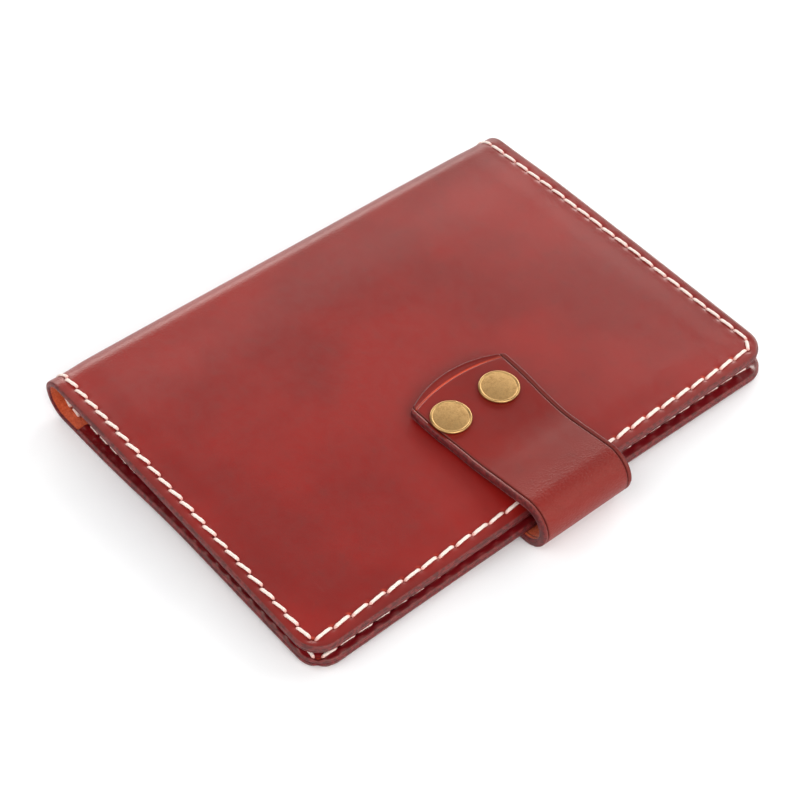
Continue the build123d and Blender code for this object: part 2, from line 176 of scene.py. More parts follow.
def strap_path():
    """The outer face of the strap, from the tab's tip round the loop to the tip of the fixed end."""
    slope = math.radians(FRONT_SLOPE)
    top = np.array([FOLD_X + SPINE_R * math.sin(slope), SPINE_R * (1 + math.cos(slope))])
    up = np.array([math.sin(slope), math.cos(slope)])
    along = np.array([math.cos(slope), -math.sin(slope)])
    origin = top + up * (TAB_LIFT + STRAP)
    tip = origin + along * (TIP_X - origin[0]) / along[0]
    rise = math.radians(TAB_SLOPE)
    loop_end = np.array([LOOP_X - LOOP_R * math.sin(rise), LOOP_R * (1 + math.cos(rise))])
    back = np.array([math.cos(rise), math.sin(rise)])
    # where the tab's two straight stretches would meet
    meet = up.dot(origin - loop_end) / up.dot(back)
    corner = loop_end + back * meet
    trim = TAB_BEND_R * math.tan((slope + rise) / 2)
    path = Path(tip[0], tip[1], -FRONT_SLOPE).straight(np.linalg.norm(corner - tip) - trim)
    path.arc(TAB_BEND_R, FRONT_SLOPE + TAB_SLOPE).straight(-meet - trim)
    middle = path.length + LOOP_R * math.radians(90 + TAB_SLOPE)
    path.arc(LOOP_R, -180 - TAB_SLOPE)
    path.straight(path.point[0] - TIP_X)
    return path, middle


cover_line, COVER_MIDDLE = cover_path()
strap_line, STRAP_MIDDLE = strap_path()


def smooth(x, low, high):
    """0 below low, 1 above high, and smooth between."""
    t = np.clip((x - low) / (high - low), 0, 1)
    return t * t * (3 - 2 * t)


TWIST = 0.75  # how far the front half's far corner stands up, and its near one dips
SAG = 1.1  # how far the back half's corners hang down beside the strap
SPINE_DROP, SPINE_DROP_END = 0.6, -27.0  # the top face arches down by this much to the spine, from this X
FAR_BULGE = 0.35  # the far edge is cut a little round
EDGE_WAVE, EDGE_WAVE_LENGTH, EDGE_WAVE_START = 0.12, 19.0, 0.6  # the front's fore-edge isn't quite flat


def drape(x, y, z, half):
    """How real leather differs from the flat CAD: the front half is twisted a little, the back half sags."""
    reach = np.clip((x - FOLD_X) / (FRONT_EDGE_X - FOLD_X), 0, 1)
    side = y / HALF_HEIGHT
    if half == "back":
        return y, z - SAG * side**2 * smooth(reach, 0.4, 1.0)
    arched = (1 - smooth(x, FOLD_X, SPINE_DROP_END)) * smooth(z, SPINE_R, 2 * SPINE_R)
    wave = EDGE_WAVE * np.sin(y / EDGE_WAVE_LENGTH + EDGE_WAVE_START) * smooth(reach, 0.3, 1.0)
    bulged = FAR_BULGE * smooth(side, 0.6, 1.0) * 4 * reach * (1 - reach)
    return y + bulged, z + TWIST * side * reach**2 + wave - SPINE_DROP * arched


def placer(path, from_end, shift=0.0, half=None):
    """A function that turns u, v and d into points, with the outward normals there."""

    def place(u, v, d):
        s = path.length - u if from_end else u
        points, normals = path.at(s)
        x = points[..., 0] - normals[..., 0] * d
        z = points[..., 1] - normals[..., 1] * d
        y = v + shift
        if half:
            y, z = drape(x, y, z, half)
        return np.stack([x, y + 0 * x, z], -1)

    return place


place_back = placer(cover_line, False, half="back")
place_front = placer(cover_line, True, half="front")
place_tab = placer(strap_line, False, STRAP_Y)
place_anchor = placer(strap_line, True, STRAP_Y)
BACK_LENGTH = COVER_MIDDLE
FRONT_LENGTH = cover_line.length - COVER_MIDDLE
TAB_LENGTH = STRAP_MIDDLE
ANCHOR_LENGTH = strap_line.length - STRAP_MIDDLE


# ---- Meshes ----
def make_mesh(name, points, faces, materials, face_material=None, attributes=None, uv=None, sharp=()):
    """An object from points in millimetres. faces is a list of arrays of quads or triangles."""
    flat = np.concatenate([np.asarray(f).ravel() for f in faces]).astype(np.int32)
    sizes = np.concatenate([np.full(len(f), np.asarray(f).shape[1]) for f in faces]).astype(np.int32)
    mesh = bpy.data.meshes.new(name)
    mesh.vertices.add(len(points))
    mesh.vertices.foreach_set("co", (np.asarray(points) * MM).astype(np.float32).ravel())
    mesh.loops.add(len(flat))
    mesh.loops.foreach_set("vertex_index", flat)
    mesh.polygons.add(len(sizes))
    mesh.polygons.foreach_set("loop_start", np.concatenate([[0], np.cumsum(sizes)[:-1]]).astype(np.int32))
    mesh.polygons.foreach_set("use_smooth", np.ones(len(sizes), bool))
    for material in materials:
        mesh.materials.append(material)
    if face_material is not None:
        mesh.polygons.foreach_set("material_index", np.asarray(face_material, np.int32))
    mesh.update(calc_edges=True)
    for key, values in (attributes or {}).items():
        made = mesh.attributes.new(key, "FLOAT", "POINT")
        made.data.foreach_set("value", np.asarray(values, np.float32))
    if uv is not None:
        layer = mesh.uv_layers.new(name="UVMap")
        layer.data.foreach_set("uv", np.asarray(uv, np.float32)[flat].ravel())
    if len(sharp):
        marked = {tuple(sorted(pair)) for pair in sharp}
        ends = np.zeros(len(mesh.edges) * 2, np.int32)
        mesh.edges.foreach_get("vertices", ends)
        flags = [tuple(sorted(pair)) in marked for pair in ends.reshape(-1, 2).tolist()]
        made = mesh.attributes.new("sharp_edge", "BOOLEAN", "EDGE")
        made.data.foreach_set("value", flags)
    mesh.validate()
    made = bpy.data.objects.new(name, mesh)
    bpy.context.scene.collection.objects.link(made)
    return made


EDGE_STEPS = (0.0, 0.03, 0.1, 0.2, 0.34, 0.5, 0.75)  # grid lines beside a free edge, for its rounding
FINE_STEP, FINE_CLEARANCE = 0.14, 0.06  # of grid lines in a fine range, and from its ends to other lines


def grid_lines(length, step, both=False, fine=None):
    """Places of grid lines from 0 to length: close together at a free edge and in a fine range, else even."""
    first = EDGE_STEPS[-1]
    last = length - (first if both else EDGE_STEPS[1])
    count = max(2, round((last - first) / step))
    even = np.linspace(first, last, count + 1)
    ends = length - np.array(EDGE_STEPS[-2::-1]) if both else np.array([length])
    places = np.concatenate([EDGE_STEPS[:-1], even, ends])
    if fine is not None:
        low, high = fine
        clear = (places < low - FINE_CLEARANCE) | (places > high + FINE_CLEARANCE)
        close = np.linspace(low, high, round((high - low) / FINE_STEP) + 1)
        places = np.sort(np.concatenate([places[clear], close]))
    return places


def round_corners(u, v, half, radius, block):
    """Moves a square-cornered grid onto a panel with two rounded corners at u = 0, by Coons patches."""
    u, v = u.copy(), v.copy()
    straight = block - radius
    total = straight + radius * math.pi / 4

    def boundary(t):
        """How far along one side, and how far in from it, is a share t of the way to the arc's middle."""
        run = t * total
        turned = np.clip(run - straight, 0, None) / radius
        along = np.where(run < straight, run, straight + radius * np.sin(turned))
        return along, radius * (1 - np.cos(turned))

    here = (u < block) & (np.abs(v) > half - block)
    a = 1 - u[here] / block
    b = (np.abs(v[here]) - (half - block)) / block
    run_a, in_a = boundary(a)
    run_b, in_b = boundary(b)
    mid_run = boundary(np.array(1.0))[0]
    # x goes towards the free edge and y towards the side, both from the block's inner corner
    x = a * (block - in_b) + b * run_a - a * b * mid_run
    y = b * (block - in_a) + a * run_b - a * b * mid_run
    u[here] = block - x
    v[here] = np.sign(v[here]) * (half - block + y)
    return u, v


def edge_distance(u, v, half, radius):
    """How far a point is from the outline of a panel with two rounded corners at u = 0."""
    du, dv = radius - u, np.abs(v) - (half - radius)
    corner = radius - np.hypot(np.maximum(du, 0), np.maximum(dv, 0))
    return np.where((du > 0) & (dv > 0), corner, np.minimum(u, half - np.abs(v)))


def rounding(e, radius):
    """The depth of a rounded edge's surface at a distance in from the outline."""
    inside = np.clip(radius - e, 0, radius)
    return radius - np.sqrt(np.maximum(radius**2 - inside**2, 0))


WALL_LEVELS = (0.2, 0.5, 0.8)  # rows of points on an edge's wall, as shares of its height
WALL_BULGE = 0.10


def wall_rows(u, v, top, bottom, closed):
    """Points of a slightly rounded wall between a panel's two outlines, in rows from top to bottom."""
    if closed:
        du = np.roll(u, -1) - np.roll(u, 1)
        dv = np.roll(v, -1) - np.roll(v, 1)
    else:
        du, dv = np.gradient(u), np.gradient(v)
    size = np.hypot(du, dv)
    # the outline runs along -v first, so its outer side is on its left in (u, v)
    out_u, out_v = -dv / size, du / size
    rows = []
    for level in WALL_LEVELS:
        bulge = WALL_BULGE * math.sin(math.pi * level)
        rows.append((u + out_u * bulge, v + out_v * bulge, top + (bottom - top) * level))
    return [np.array(part) for part in zip(*rows)]


UV_SCALE = 0.01  # a unit of the UV map is 100 mm


def panel(name, place, length, half, thickness, materials, corner=CORNER_R, block=10.0, start=0.0, step=0.65,
          both=False, outer_round=0.55, inner_round=0.2, outer=None, inner=None, lift=None, reshape=None,
          marks=None, fine_u=None, fine_v=None):
    """A leather panel as one closed mesh, with rounded edges and shaped faces.

    outer and inner give the height of each face's relief and lift moves both faces, all as functions of
    u, v and the distance e from the outline. marks is like outer, and is kept as attributes for the
    materials. reshape then moves u and v to change the outline. start is the depth of the outer face below
    the path's outer side. fine_u and fine_v are ranges of distance from the free end and the sides where the
    grid is finer.
    """
    lines_u = grid_lines(length, step, both, fine_u)
    half_lines = half - grid_lines(half, step, fine=fine_v)
    lines_v = np.concatenate([-half_lines, half_lines[-2::-1]])
    u, v = np.meshgrid(lines_u, lines_v, indexing="ij")
    u, v = round_corners(u, v, half, corner, block)
    e = np.maximum(edge_distance(u, v, half, corner), 0)
    if both:
        e = np.minimum(e, length - u)
    zero = np.zeros_like(u)
    shift = lift(u, v, e) if lift else zero
    top = start + rounding(e, outer_round) - shift - (outer(u, v, e) if outer else zero)
    bottom = start + thickness - rounding(e, inner_round) - shift + (inner(u, v, e) if inner else zero)
    kept = marks(u, v, e) if marks else {}
    if reshape:
        u, v = reshape(u, v)
    nu, nv = u.shape
    index = np.arange(nu * nv).reshape(nu, nv)
    below = index + nu * nv
    outline = np.concatenate([index[::-1, 0], index[0, 1:], index[1:, -1]])
    if both:
        outline = np.concatenate([outline, index[-1, -2:0:-1]])
    wall_u, wall_v, wall_d = wall_rows(u.ravel()[outline], v.ravel()[outline], top.ravel()[outline],
                                       bottom.ravel()[outline], both)
    points = np.concatenate([place(u, v, top).reshape(-1, 3), place(u, v, bottom).reshape(-1, 3),
                             place(wall_u, wall_v, wall_d).reshape(-1, 3)])

    def quads(grid):
        return np.stack([grid[:-1, :-1], grid[1:, :-1], grid[1:, 1:], grid[:-1, 1:]], -1).reshape(-1, 4)

    def wall(upper, lower):
        return np.stack([upper[:-1], upper[1:], lower[1:], lower[:-1]], -1)

    middles = 2 * nu * nv + np.arange(wall_u.size).reshape(wall_u.shape)
    levels = [outline, *middles, outline + nu * nv]
    if both:
        levels = [np.append(level, level[0]) for level in levels]
    faces = [quads(index), quads(below)[:, ::-1]]
    faces += [wall(upper, lower) for upper, lower in zip(levels[:-1], levels[1:])]
    if not both:
        # the cut end, where two panels meet in one leather
        left, right = [level[0] for level in levels], [level[-1] for level in levels]
        faces.append(wall(index[-1, ::-1], below[-1, ::-1]))
        faces.append(np.array([left]))
        faces.append(np.array([right[::-1]]))
    counts = [len(f) for f in faces]
    a, b, c = points[faces[0][len(faces[0]) // 2][:3]]
    inward = points[below[nu // 2, nv // 2]] - points[index[nu // 2, nv // 2]]
    if np.dot(np.cross(b - a, c - a), inward) > 0:
        faces = [f[:, ::-1] for f in faces]
    slots = np.repeat([0, 1] + [0] * (len(counts) - 2), counts)
    zeros = np.zeros(wall_u.size)
    attributes = {"edge": np.concatenate([e.ravel(), e.ravel(), zeros]),
                  "depth": np.concatenate([top.ravel(), bottom.ravel(), wall_d.ravel()])}
    for key, values in kept.items():
        attributes[key] = np.concatenate([values.ravel(), values.ravel(), zeros])
    flat_u = np.concatenate([u.ravel(), u.ravel(), wall_u.ravel()])
    flat_v = np.concatenate([v.ravel(), v.ravel(), wall_v.ravel()])
    uv = np.stack([flat_u, flat_v], -1) * UV_SCALE
    sharp = []
    if not both:
        for line in (index[-1], below[-1], left, right):
            sharp += list(zip(line[:-1], line[1:]))
    return make_mesh(name, points, faces, materials, slots, attributes, uv, sharp)


# ---- Materials ----
class Shader:
    """A material's nodes, made by name. An input is a number, a colour or another node's socket."""

    def __init__(self, name, on_panel=True):
        self.on_panel = on_panel
        self.material = bpy.data.materials.new(name)
        self.material.use_nodes = True
        self.tree = self.material.node_tree
        self.tree.nodes.clear()

    def add(self, kind, inputs=None, out=0, **settings):
        node = self.tree.nodes.new("ShaderNode" + kind)
        for key, value in settings.items():
            setattr(node, key, value)
        for key, value in (inputs or {}).items():
            socket = node.inputs[key]
            if isinstance(value, bpy.types.NodeSocket):
                self.tree.links.new(value, socket)
            else:
                socket.default_value = value
        return node.outputs[out]

    def math(self, operation, a, b=0.0, clamp=False):
        return self.add("Math", {0: a, 1: b}, operation=operation, use_clamp=clamp)

    def between(self, value, low, high, to_low=0.0, to_high=1.0, smooth_step=True):
        """value mapped from low..high to to_low..to_high, held at the ends."""
        kind = "SMOOTHSTEP" if smooth_step else "LINEAR"
        inputs = {"Value": value, "From Min": low, "From Max": high, "To Min": to_low, "To Max": to_high}
        return self.add("MapRange", inputs, interpolation_type=kind)

    def times(self, a, b):
        return self.math("MULTIPLY", a, b)

    def plus(self, a, b):
        return self.math("ADD", a, b)

    def mix(self, factor, a, b, blend="MIX"):
        inputs = {"Factor": factor, 6: a, 7: b}
        return self.add("Mix", inputs, out=2, data_type="RGBA", blend_type=blend)

    def place(self, scale=(1, 1, 1)):
        """The position on the panel, or in the object, in millimetres, times a scale."""
        if not self.on_panel:
            where = self.add("TexCoord", out=3)
            return self.add("Mapping", {"Vector": where, "Scale": [s / MM for s in scale]})
        uv = self.add("UVMap", uv_map="UVMap")
        split = self.add("SeparateXYZ", {"Vector": uv})
        depth = self.times(self.value("depth"), UV_SCALE)
        where = self.add("CombineXYZ", {"X": split, "Y": split.node.outputs["Y"], "Z": depth})
        return self.add("Mapping", {"Vector": where, "Scale": [s / UV_SCALE for s in scale]})

    def noise(self, scale, detail=3.0, roughness=0.5, stretch=(1, 1, 1), distortion=0.0):
        inputs = {"Vector": self.place(stretch), "Scale": scale, "Detail": detail, "Roughness": roughness,
                  "Distortion": distortion}
        return self.add("TexNoise", inputs)

    def cells(self, scale, stretch=(1, 1, 1)):
        """The distance from the edges of scattered cells."""
        where = self.place(stretch)
        return self.add("TexVoronoi", {"Vector": where, "Scale": scale}, feature="DISTANCE_TO_EDGE")

    def value(self, name):
        """An attribute that the mesh holds."""
        return self.add("Attribute", out=2, attribute_name=name)

    def bump(self, height, depth_mm, strength, normal=None):
        inputs = {"Height": height, "Distance": depth_mm * MM, "Strength": strength}
        if normal is not None:
            inputs["Normal"] = normal
        return self.add("Bump", inputs)

    def finish(self, **inputs):
        """Connects a Principled shader with these inputs, and returns the material."""
        names = {key.replace("_", " "): value for key, value in inputs.items()}
        shader = self.add("BsdfPrincipled", names)
        output = self.tree.nodes.new("ShaderNodeOutputMaterial")
        self.tree.links.new(shader, output.inputs["Surface"])
        return self.material


def rgb(red, green, blue):
    """A linear colour from sRGB numbers of 0 to 255."""
    def linear(c):
        c /= 255
        return c / 12.92 if c <= 0.04045 else ((c + 0.055) / 1.055) ** 2.4
    return linear(red), linear(green), linear(blue), 1.0


EDGE_PAINT = rgb(116, 32, 36)
EDGE_DARK = rgb(82, 20, 26)
HAZE_TINT = (1.0, 0.96, 0.80, 1.0)  # the leather's polish reflects a little warm


def edge_paint(s, colour, width=0.42):
    """Covers the panel's cut edge with burnished paint. Returns the colour and how much paint there is."""
    ragged = s.noise(1.6, 4, 0.6)
    distance = s.plus(s.value("edge"), s.times(s.math("SUBTRACT", ragged, 0.5), 0.28))
    paint = s.between(distance, width - 0.16, width + 0.12, 1.0, 0.0)
    tone = s.mix(s.between(s.noise(0.9, 3), 0.38, 0.62), EDGE_PAINT, EDGE_DARK)
    return s.mix(paint, colour, tone), paint


CLOUD, MOTTLE, FINE, PORES, WRINKLES, SCUFFS = 0.028, 0.33, 2.7, 1.9, 1.1, 0.8  # patterns to the millimetre
COAT_ROUGHNESS = 0.30
PAINTED_COAT, WORN_COAT = 0.1, 0.2  # the share of the polish that is left on edge paint, and on a bend


def smooth_leather(name, deep, bright, gloss=0.37, coat=0.30, shine=0.55):
    """Vegetable-tanned leather: cloudy dye, fine pores, darker at edges, painted shade in stitch holes and
    creases, a painted highlight on hole walls and the tip crease, painted edges.
    """
    s = Shader(name)
    cloud = s.between(s.noise(CLOUD, 3, 0.5), 0.36, 0.66)
    mottle = s.noise(MOTTLE, 6, 0.62)
    fine = s.noise(FINE, 4, 0.6)
    colour = s.mix(cloud, deep, bright)
    dark = s.mix(1.0, colour, rgb(168, 120, 118), "MULTIPLY")
    colour = s.mix(s.between(mottle, 0.50, 0.74, 0.0, 0.15), colour, dark)
    light = s.mix(1.0, colour, (1.25, 1.12, 1.1, 1.0), "MULTIPLY")
    colour = s.mix(s.between(mottle, 0.46, 0.30, 0.0, 0.20), colour, light)
    burnish = s.between(s.plus(s.value("edge"), mottle), 0.6, 3.0, 0.35, 0.0)
    colour = s.mix(burnish, colour, s.mix(1.0, colour, rgb(160, 110, 108), "MULTIPLY"))
    # painted shade in the stitch holes and the strap's side creases
    colour = s.mix(s.value("pit"), colour, rgb(40, 8, 8))
    # painted highlight on the walls of stitch holes and along the strap's tip crease
    colour = s.mix(s.value("glow"), colour, rgb(226, 86, 54))
    colour, paint = edge_paint(s, colour)
    pores = s.between(s.cells(PORES), 0.0, 0.16)
    wrinkles = s.times(s.between(s.cells(WRINKLES, (1.5, 0.8, 1)), 0.0, 0.3), s.value("bend"))
    scuffs = s.between(s.noise(SCUFFS, 5, 0.7, (0.25, 3.0, 1.0)), 0.60, 0.78)
    normal = None
    for height, depth_mm, strength in ((pores, 0.008, 0.3), (fine, 0.016, 0.3), (mottle, 0.05, 0.3),
                                       (wrinkles, 0.08, 0.45)):
        normal = s.bump(height, depth_mm, strength, normal)
    rough = s.between(mottle, 0.3, 0.75, gloss - 0.03, gloss + 0.05, False)
    for where, rougher in ((scuffs, 0.10), (paint, 0.16), (s.value("bend"), 0.10)):
        rough = s.plus(rough, s.times(where, rougher))
    # where shade is painted, the polish and the reflections are dimmed as well
    unshaded = s.math("SUBTRACT", 1.0, s.value("pit"), True)
    worn = s.between(s.value("bend"), 0.0, 1.0, 1.0, WORN_COAT, False)
    polish = s.times(s.times(s.between(paint, 0.0, 1.0, coat, PAINTED_COAT * coat), unshaded), worn)
    return s.finish(Base_Color=colour, Roughness=rough, Normal=normal, Coat_Weight=polish,
                    Coat_Roughness=COAT_ROUGHNESS, Specular_IOR_Level=s.times(unshaded, shine),
                    Specular_Tint=HAZE_TINT)


def flesh_leather(name, deep, bright):
    """The rough inner side of the leather: short tangled fibres, and painted shade in the stitch holes."""
    s = Shader(name)
    fibre = s.noise(1.5, 8, 0.72, distortion=0.8)
    patch = s.between(s.noise(0.12, 3), 0.35, 0.65)
    colour = s.mix(s.between(fibre, 0.36, 0.66), deep, bright)
    colour = s.mix(s.times(patch, 0.35), colour, deep)
    # painted shade in the stitch holes
    colour = s.mix(s.value("pit"), colour, rgb(70, 18, 10))
    colour, _ = edge_paint(s, colour, 0.5)
    normal = s.bump(fibre, 0.30, 0.8)
    return s.finish(Base_Color=colour, Roughness=0.88, Normal=normal, Specular_IOR_Level=0.25,
                    Sheen_Weight=0.25, Sheen_Roughness=0.5)


def waxed_thread(name):
    """Off-white waxed thread: two plies, and painted pinkish shade where it goes into the holes."""
    s = Shader(name)
    twist = {"Vector": s.place(), "Scale": 1.9, "Distortion": 0.6, "Detail": 2.0}
    plies = s.add("TexWave", twist, out=1, wave_type="BANDS", bands_direction="DIAGONAL")
    fuzz = s.noise(4.5, 5, 0.7, (0.6, 2.2, 1.0))
    colour = s.mix(s.between(fuzz, 0.3, 0.7), rgb(238, 210, 198), rgb(246, 234, 224))
    # painted pinkish shade towards each stitch's ends, where the thread sinks into its holes
    painted_hole_shade = s.between(s.value("hole"), 0.55, 1.0, 0.0, 0.8)
    colour = s.mix(painted_hole_shade, colour, rgb(226, 150, 138))
    normal = s.bump(plies, 0.05, 0.5)
    normal = s.bump(fuzz, 0.05, 0.5, normal)
    return s.finish(Base_Color=colour, Roughness=0.62, Normal=normal, Sheen_Weight=0.15,
                    Specular_IOR_Level=0.3)


def antique_brass(name, bright, dark, speckle, gloss):
    """Aged brass: a smooth bright rim, and brown patina, speckles and fine scratches in the flats."""
    s = Shader(name, on_panel=False)
    patina = s.noise(0.8, 6, 0.65)
    grit = s.noise(3.4, 5, 0.75)
    scratch = s.between(s.noise(1.3, 4, 0.8, (0.25, 6.0, 1.0)), 0.60, 0.72)
    rim = s.value("rim")
    shade = s.plus(s.between(grit, 0.42, 0.66, 0.0, speckle), s.between(patina, 0.4, 0.7, 0.0, 0.45))
    shade = s.math("MULTIPLY", shade, s.math("SUBTRACT", 1.0, s.times(rim, 0.85)), True)
    colour = s.mix(shade, bright, dark)
    worn = s.math("SUBTRACT", 1.0, rim)
    normal = s.bump(s.times(grit, worn), 0.04, 0.4)
    normal = s.bump(s.times(scratch, worn), 0.02, 0.4, normal)
    rough = s.plus(s.between(patina, 0.3, 0.7, gloss - 0.05, gloss + 0.14, False), s.times(rim, -0.16))
    return s.finish(Base_Color=colour, Metallic=1.0, Roughness=rough, Normal=normal)


def paper_floor(name):
    """Plain white card with a faint tooth."""
    s = Shader(name)
    where = s.add("TexCoord", out=3)
    tooth = s.add("TexNoise", {"Vector": where, "Scale": 900.0, "Detail": 3.0})
    tone = s.between(s.add("TexNoise", {"Vector": where, "Scale": 30.0, "Detail": 3.0}), 0.3, 0.7)
    colour = s.mix(tone, (0.92, 0.92, 0.925, 1.0), (0.95, 0.95, 0.95, 1.0))
    return s.finish(Base_Color=colour, Roughness=0.8, Normal=s.bump(tooth, 0.06, 0.3),
                    Specular_IOR_Level=0.2)


cover_grain = smooth_leather("cover_leather_grain", rgb(120, 14, 13), rgb(136, 18, 15))
strap_grain = smooth_leather(
    "strap_leather_grain", rgb(114, 18, 15), rgb(126, 22, 17), gloss=0.34, coat=0.1, shine=0.42,
)
pocket_grain = smooth_leather("pocket_leather_grain", rgb(98, 6, 16), rgb(120, 10, 20), gloss=0.30, coat=0.35)
flesh = flesh_leather("leather_flesh", rgb(196, 74, 36), rgb(236, 118, 70))
thread = waxed_thread("waxed_thread")
brass = antique_brass("antique_brass", rgb(196, 158, 104), rgb(150, 112, 66), 0.45, 0.48)
snap_metal = antique_brass("snap_brass", rgb(204, 172, 112), rgb(134, 104, 62), 0.35, 0.28)


# ---- Stitching ----
NEAR_PITCH, FORE_PITCH, FAR_PITCH = 4.25, 4.85, 4.55
CORNER_CUT = 2.4  # the far corner is crossed by one short slanting stitch
CORNER_STEP = 0.8  # between the near row's last hole and the fore row's first, each way


def row(start, end, pitch):
    """Holes of one row of saddle stitches, from one point to another, about a pitch apart."""
    start, end = np.array(start, float), np.array(end, float)
    count = round(np.linalg.norm(end - start) / pitch)
    return start + (end - start) * np.linspace(0, 1, count + 1)[:, None]


def cover_rows(length, near_inset, fore_insets, far_inset):
    """The three rows of a half of the cover: near from the spine, fore-edge with the far corner, and far.

    By the spine the rows are STITCH_INSET in from the edge, and at the fore-edge corners as far as given.
    """
    by_spine = HALF_HEIGHT - STITCH_INSET
    near_side, far_side = HALF_HEIGHT - near_inset, HALF_HEIGHT - far_inset
    first, last = fore_insets
    near = row((length, -by_spine), (first + CORNER_STEP, -near_side), NEAR_PITCH)
    fore = row((first, -near_side + CORNER_STEP), (last, far_side - CORNER_CUT), FORE_PITCH)
    far = row((last + CORNER_CUT, far_side), (length, by_spine), FAR_PITCH)
    return [near, np.concatenate([fore, far[:1]]), far]


def seam_distance(u, v, rows):
    """How far inside the three rows a point is."""
    near, fore, far = rows

    def across(start, end, along):
        return start[1] + (end[1] - start[1]) * (along - start[0]) / (end[0] - start[0])

    inside_fore = u - across(fore[0][::-1], fore[-2][::-1], v)
    inside_sides = np.minimum(v - across(near[0], near[-1], u), across(far[0], far[-1], u) - v)
    return np.minimum(inside_fore, inside_sides)


def nearest(u, v, holes):
    """The distance from each point to the nearest hole."""
    flat = np.stack([u.ravel(), v.ravel()], -1)
    best = np.full(len(flat), np.inf)
    for hole in np.concatenate(holes):
        best = np.minimum(best, ((flat - hole) ** 2).sum(-1))
    return np.sqrt(best).reshape(u.shape)


PUFF_WIDTH = 8.5  # inside the seam, where the leather rises to its full height
FLATTER_FAR = 0.6  # the far side is puffed up less, by this share
PRESS_WIDTH, PIT_WIDTH = 0.75, 0.45
PLUMP, PLUMP_WIDTH, HALF_PITCH = 0.10, 1.5, 2.1  # the leather stands up a little between two holes
WAVE = 0.10  # and isn't quite flat between the seams


def seam_relief(rows, band=0.10, pit=0.42, puff=0.34, seed=0.0):
    """A face's relief beside a seam: a pressed band, pits at the holes, and leather puffed up inside."""

    def relief(u, v, e):
        hole = nearest(u, v, rows)
        inside = seam_distance(u, v, rows)
        pressed = -band * np.exp(-((inside / PRESS_WIDTH) ** 2))
        pits = -pit * np.exp(-((hole / PIT_WIDTH) ** 2))
        rise = puff * smooth(inside, 0.2, PUFF_WIDTH) * (1 - FLATTER_FAR * smooth(v, 30, 66))
        plump = PLUMP * np.exp(-((inside / PLUMP_WIDTH) ** 2)) * np.clip(hole / HALF_PITCH, 0, 1)
        waves = WAVE * np.sin(u / 11 + seed) * np.sin(v / 14 + 2 * seed) * smooth(e, 4, 16)
        return pressed + pits + rise + plump + waves

    return relief


BURR_OFFSET, BURR_RADIUS = 0.95, 0.8


def burrs(u, v, holes):
    """Where the awl came out, the leather stands up just outside each hole."""
    outward = ((0, -1), (-1, 0), (0, 1))
    moved = [some + np.array(way) * BURR_OFFSET for some, way in zip(holes, outward)]
    return np.exp(-((nearest(u, v, moved) / BURR_RADIUS) ** 2))


SPINE_WEAR = 0.6  # how much of a bend's look the spine has
# sizes of the painted shade in the stitch holes and of the painted highlight on their walls, that highlight's
# offset inward, and its strength
HOLE_SHADE_RADIUS, HOLE_HIGHLIGHT_RADIUS, HOLE_HIGHLIGHT_OFFSET, HOLE_HIGHLIGHT = 0.36, 0.30, 0.42, 0.8


def seam_marks(holes, spine=None):
    """Attributes for the materials: painted shade in the stitch holes, a painted highlight on the walls of
    the fore row's holes, and the spine's bend.
    """
    inward = [holes[1] + np.array((HOLE_HIGHLIGHT_OFFSET, 0))]

    def marks(u, v, e):
        # painted shade in each stitch hole
        pit = np.exp(-((nearest(u, v, holes) / HOLE_SHADE_RADIUS) ** 2))
        # painted highlight on the lit wall of each hole in the fore row
        glow = HOLE_HIGHLIGHT * np.exp(-((nearest(u, v, inward) / HOLE_HIGHLIGHT_RADIUS) ** 2)) * (1 - pit)
        bend = 0 * u if spine is None else SPINE_WEAR * smooth(u, spine - 15, spine - 8)
        return {"pit": pit, "glow": glow, "bend": bend}

    return marks


THREAD_HALF_WIDTH, THREAD_HALF_HEIGHT = 0.41, 0.29
END_GAP, INNER_GAP = 0.13, 0.45  # from a hole to where a stitch comes out of it, on outer and inner faces
SUNK, PROUD = 0.36, 0.16  # how deep a stitch's ends are, and how high its middle
END_SLIM = 0.76  # a stitch's ends are this share of its middle
PLY_RELIEF, PLY_TURNS = 0.07, 7.5
SECTIONS, SIDES = 13, 12


